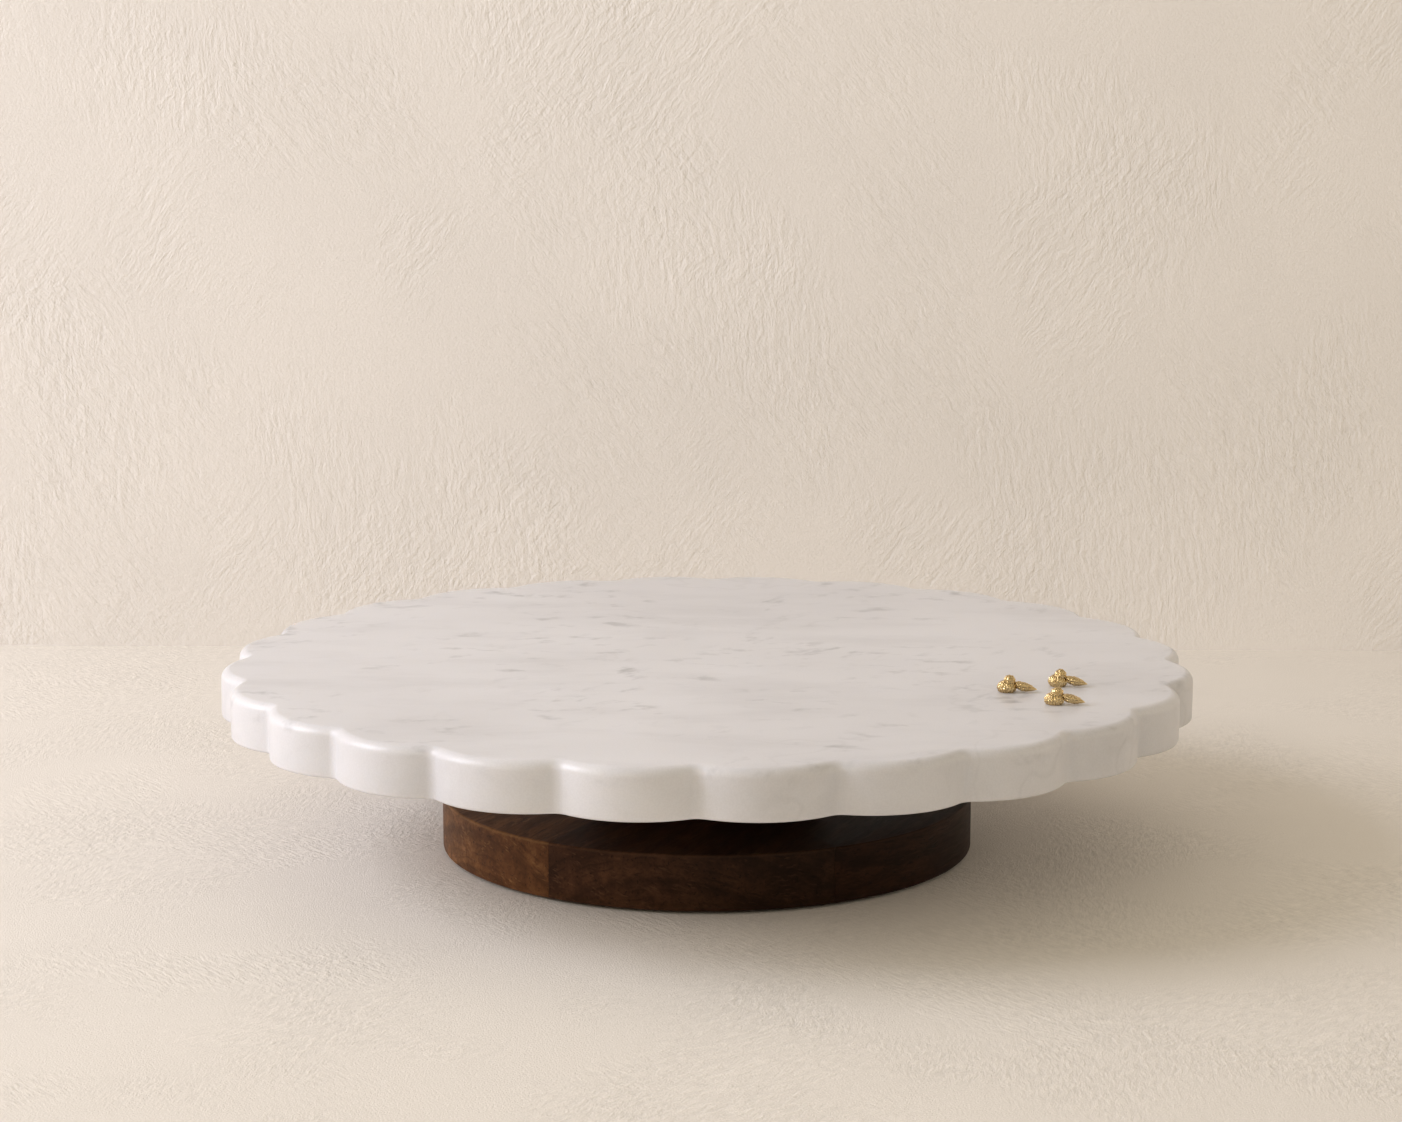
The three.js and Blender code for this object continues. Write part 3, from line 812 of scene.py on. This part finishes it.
def build_outer_ring():
    z0, z1 = low("bearing_outer_ring").z, high("bearing_outer_ring").z
    profile = chamfered(RACE_RADIUS + RING_GAP, OUTER_RING_RADIUS, z0, z1)
    profile[1:1] = race(1, race_height())
    ring = loose("outer_race_ring", turned(profile, 192))
    seat = [(0, -1), (4.15, -1), (4.15, 0.4), (2.15, 2.4), (2.15, 12), (0, 12)]
    screws = [middle(n) for n in numbered("ring_screw", 6)]
    boolean(ring, joined([moved(turned(seat, 48), c.x, c.y, z0) for c in screws]))
    across = Matrix.Rotation(math.pi / 2, 3, "Y")
    boolean(ring, moved(rod(3.15, 62.5, 72), z=race_height(), matrix=across))
    dress(ring, "bearing_outer_ring", "aluminium", "turntable")


def build_loading_plug():
    across = Matrix.Rotation(math.pi / 2, 3, "Y")
    plug = [(0, 62.8), (2.6, 62.8), (3, 63.2), (3, 69.2), (2.7, 69.5), (0, 69.5)]
    stopper = loose("loading_plug", moved(turned(plug, 48), z=race_height(), matrix=across))
    slot = [(x, y, z) for z in (-0.4, 0.4) for x, y in ((68.6, -4), (72, -4), (72, 4), (68.6, 4))]
    boolean(stopper, moved((slot, BOX_FACES), z=race_height()))
    dress(stopper, "ball_fill_plug", "screw_steel", "turntable")


def build_cage():
    z0, z1 = low("ball_cage").z, high("ball_cage").z
    profile = chamfered(RACE_RADIUS - 0.6, RACE_RADIUS + 0.6, z0, z1, 0.25)
    cage = loose("race_cage", turned(profile, 192))
    balls = numbered("bearing_ball", 16)
    pockets = []
    for node in balls:
        c = middle(node)
        turn = Matrix.Rotation(math.atan2(c.y, c.x), 3, "Z") @ Matrix.Rotation(math.pi / 2, 3, "Y")
        pockets.append(moved(rod(2.7, 44, 51, sides=40), z=c.z, matrix=turn))
    boolean(cage, joined(pockets))
    dress(cage, "ball_cage", "nylon", "ball_cage_set")
    ball = new_mesh("race_ball", *blob((0, 0, 0), [BALL_RADIUS] * 3, level=4))

    def place(node):
        return at_box(node, middle(node).z)

    copies("race_ball", balls, lambda i: ball, "ball_steel", "ball_cage_set", place, 60)


# ---------------------------------------------------------------- fasteners and feet


def thread(outer, root, z0, z1, pitch):
    """The zigzag of a thread's crests and roots, going up."""
    for i in range(int((z1 - z0) / pitch)):
        z = z0 + i * pitch
        yield from ((root, z), (outer, z + 0.45 * pitch), (outer, z + 0.55 * pitch))


def at_foot(node):
    """A place at a node's middle, at its lowest point."""
    return at_box(node, low(node).z)


def build_ring_screws():
    head = [(0, 0), (3.7, 0), (3.9, 0.12), (3.9, 0.3), (2, 2), (2, 3)]
    profile = [*head, *thread(2, 1.62, 3, 15.2, 0.7), (1.6, 15.4), (1.2, 16), (0, 16)]
    screw = loose("screw", turned(profile, 48))
    boolean(screw, rod(1.25, -1, 1.5, sides=6))
    mesh = screw.data
    bpy.data.objects.remove(screw)
    screws = numbered("ring_screw", 6)
    copies("countersunk_screw", screws, lambda i: mesh, "screw_steel", "turntable", at_foot)


def build_inserts():
    def knurl(angle, r, z):
        return 0.1 * math.cos(24 * angle) - 0.1 if r > 3.2 else 0

    profile = [(2.15, 0.3), (2.4, 0), (3, 0), (3.3, 0.3), (3.3, 3.9), (3, 4.2), (2.85, 4.4), (2.85, 5.6)]
    profile += [(3, 5.8), (3.3, 6.1), (3.3, 9.7), (3, 10), (2.4, 10), (2.15, 9.7)]
    insert = new_mesh("insert", *turned(profile, 144, knurl))
    face_outwards(insert)
    inserts = numbered("slab_insert", 6)
    copies("knurled_insert", inserts, lambda i: insert, "turned_brass", "turntable", at_foot)


def build_base_screws():
    def knurl(angle, r, z):
        return 0.06 * math.cos(48 * angle) - 0.06 if r > 4.2 and z < -0.6 else 0

    head = 5
    cap = [(0, -head), (3.7, -head), (4.1, -4.75), (4.25, -4.4), (4.25, -0.8), (4.1, -0.3), (4, 0)]
    shank = [(2.5, 0), (2.5, 27), *thread(2.5, 2.05, 28, 49, 0.8), (2, 49.4), (1.6, 50), (0, 50)]
    profile = cap + shank
    screw = loose("screw", turned(profile, 144, knurl))
    boolean(screw, rod(2.3, -6, -2.5, sides=6))
    mesh = screw.data
    bpy.data.objects.remove(screw)

    def place(node):
        return at_box(node, low(node).z + head)

    copies("socket_screw", BASE_SCREWS, lambda i: mesh, "screw_steel", "base", place)


def build_washers():
    section = chamfered(2.8, 5.6, 0, 1, 0.15)
    washer = new_mesh("washer", *turned(section, 64))
    face_outwards(washer)
    washers = numbered("base_washer", 4)
    copies("plain_washer", washers, lambda i: washer, "screw_steel", "base", at_foot)


def build_feet():
    edge = 0.9
    profile = [(3.5, 0.3), (3.8, 0), *arc((8 - edge, edge), edge, -90, 0, 6), (8, 3.7), (7.7, 4)]
    profile += [(1.8, 4), (1.8, 2.8), (3.5, 2.8)]
    foot = new_mesh("foot", *turned(profile, 96))
    face_outwards(foot)
    copies("round_foot", FEET, lambda i: foot, "rubber", "base", at_foot)


def build_foot_screws():
    length = 11
    angles = [math.radians(a) for a in range(75, -1, -15)]
    dome = [(0, -1.6), *((3 * math.cos(a), -0.5 - 1.1 * math.sin(a)) for a in angles)]
    shank = [(1.5, 0), (1.4, 0.8), *thread(1.5, 1.05, 1, 8.6, 1.1), (0.9, 9.3), (0, length)]
    profile = [*dome, (3, -0.1), (2.9, 0), *shank]
    screw = loose("screw", turned(profile, 48))
    for turn in (0, math.pi / 2):
        arm = (-1.6, -0.3), (1.6, -0.3), (1.6, 0.3), (-1.6, 0.3)
        slot = [(x, y, z) for z in (-3, -0.9) for x, y in arm]
        boolean(screw, moved((slot, BOX_FACES), matrix=Matrix.Rotation(turn, 3, "Z")))
    mesh = screw.data
    bpy.data.objects.remove(screw)
    screws = numbered("foot_screw", 4)

    def place(node):
        return at_box(node, high(node).z - length)

    copies("pan_screw", screws, lambda i: mesh, "screw_steel", "base", place)


# ---------------------------------------------------------------- camera, light and floor


def area(name, place, size, watts, colour):
    light = bpy.data.lights.new(name, "AREA")
    light.shape = "RECTANGLE"
    light.size, light.size_y = size
    light.energy = watts
    light.color = colour
    obj = bpy.data.objects.new(name, light)
    bpy.context.scene.collection.objects.link(obj)
    obj.location = place
    obj.rotation_euler = (Vector((0, 0, 0.05)) - Vector(place)).to_track_quat("-Z", "Y").to_euler()
    obj.visible_camera = False


def plaster(name, colour, strokes, depth, patches, grit, dust, axes="XZ", one_way=False):
    """Troweled plaster: strokes to the metre, their depth in mm, patches of them to the metre, grit between
    them, and dust, which darkens the low places and lightens the raised ones: partly dust in the low places
    and partly painted shade of the relief."""
    g = Graph(name)
    wavy = g.warped(g.here, strokes / 6, 2.6 / strokes, 2)
    height = g.math("MULTIPLY", g.noise(g.here, strokes * 2.2, 3, 0.65), grit)
    for i, lean in enumerate((6, 44, -38)):
        rotation = [0, 0, 0]
        rotation["XYZ".index("Y" if axes == "XZ" else "Z")] = math.radians(lean)
        long_way = [strokes, strokes, strokes]
        long_way["XYZ".index(axes[1])] = strokes / 4
        leaned = g.mapped(wavy, rotation=rotation)
        brushed = g.noise(g.mapped(leaned, long_way, location=(i * 7, i, 0)), 1, 3, 0.6)
        here = g.noise(g.mapped(g.here, location=(i * 3.7, i * 1.3, i * 2.1)), patches, 2, 0.5)
        here = g.ramp(here, (0.46, 0.05), (0.62, 1))
        height = g.math("ADD", height, g.math("MULTIPLY", g.math("SUBTRACT", brushed, 0.5), here))
    soft = g.noise(g.here, 9, 3, 0.5)
    tone = g.mix(g.ramp(soft, (0.3, 0), (0.7, 1)), colour, tuple(c * 0.965 for c in colour))
    # partly dust and partly painted shade: low places darker and raised ones lighter
    raised = g.math("MULTIPLY_ADD", g.math("SUBTRACT", height, grit / 2), dust, 1.0)
    tone = g.mix(1.0, tone, raised, "MULTIPLY")
    g.set(Base_Color=tone, Roughness=0.85, Normal=g.bump(height, depth, 1.0))
    if one_way:
        side = g.node("ShaderNodeNewGeometry").outputs["Backfacing"]
        clear = g.node("ShaderNodeBsdfTransparent")
        blend = g.node("ShaderNodeMixShader")
        g.put(blend.inputs[0], side)
        g.put(blend.inputs[1], g.shader.outputs[0])
        g.put(blend.inputs[2], clear.outputs[0])
        out = next(n for n in g.tree.nodes if n.type == "OUTPUT_MATERIAL")
        g.put(out.inputs["Surface"], blend.outputs[0])
    return g.material


def sheet_of(name, corners, material):
    mesh = bpy.data.meshes.new(name)
    mesh.from_pydata(corners, [], [range(len(corners))])
    mesh.materials.append(material)
    obj = bpy.data.objects.new(name, mesh)
    bpy.context.scene.collection.objects.link(obj)


def stage():
    far, wall, top = 6, 0.423, 3
    floor_plaster = plaster("floor_plaster", (0.80, 0.75, 0.69), 560, 0.52, 9, 0.6, 0.32, axes="XY")
    wall_plaster = plaster("wall_plaster", (0.88, 0.84, 0.815), 320, 0.95, 7, 0.36, 0.1, one_way=True)
    sheet_of("floor", [(-far, -far, 0), (far, -far, 0), (far, far, 0), (-far, far, 0)], floor_plaster)
    sheet_of("wall", [(-far, wall, 0), (far, wall, 0), (far, wall, top), (-far, wall, top)], wall_plaster)
    world = bpy.data.worlds.new("studio")
    bpy.context.scene.world = world
    world.use_nodes = True
    sky = world.node_tree.nodes["Background"]
    sky.inputs[0].default_value = (1.0, 0.91, 0.735, 1)
    sky.inputs[1].default_value = 0.515
    area("window", (-2.1, -0.15, 1.28), (1.5, 1.3), 48.5, (0.88, 0.895, 1.0))
    area("room_fill", (-1.1, -1.9, 1.15), (2.2, 1.0), 8, (1.0, 0.87, 0.64))
    area("warm_fill", (1.8, -0.1, 0.55), (1.2, 0.8), 2.8, (1.0, 0.87, 0.7))


def camera():
    turn = math.radians(1.12)
    data = bpy.data.cameras.new("camera")
    data.sensor_width = 36
    data.lens = 76.65
    obj = bpy.data.objects.new("camera", data)
    bpy.context.scene.collection.objects.link(obj)
    obj.location = Matrix.Rotation(turn, 3, "Z") @ Vector((-0.0025, -1.237, 0.3293))
    obj.rotation_euler = (math.radians(90 - 9.55), 0, turn)
    bpy.context.scene.camera = obj
    bpy.context.scene.view_settings.view_transform = "Standard"


camera()
stage()
build_slab()
build_bees()
build_base()
build_riser()
build_inner_ring()
build_outer_ring()
build_loading_plug()
build_cage()
build_ring_screws()
build_inserts()
build_base_screws()
build_washers()
build_feet()
build_foot_screws()
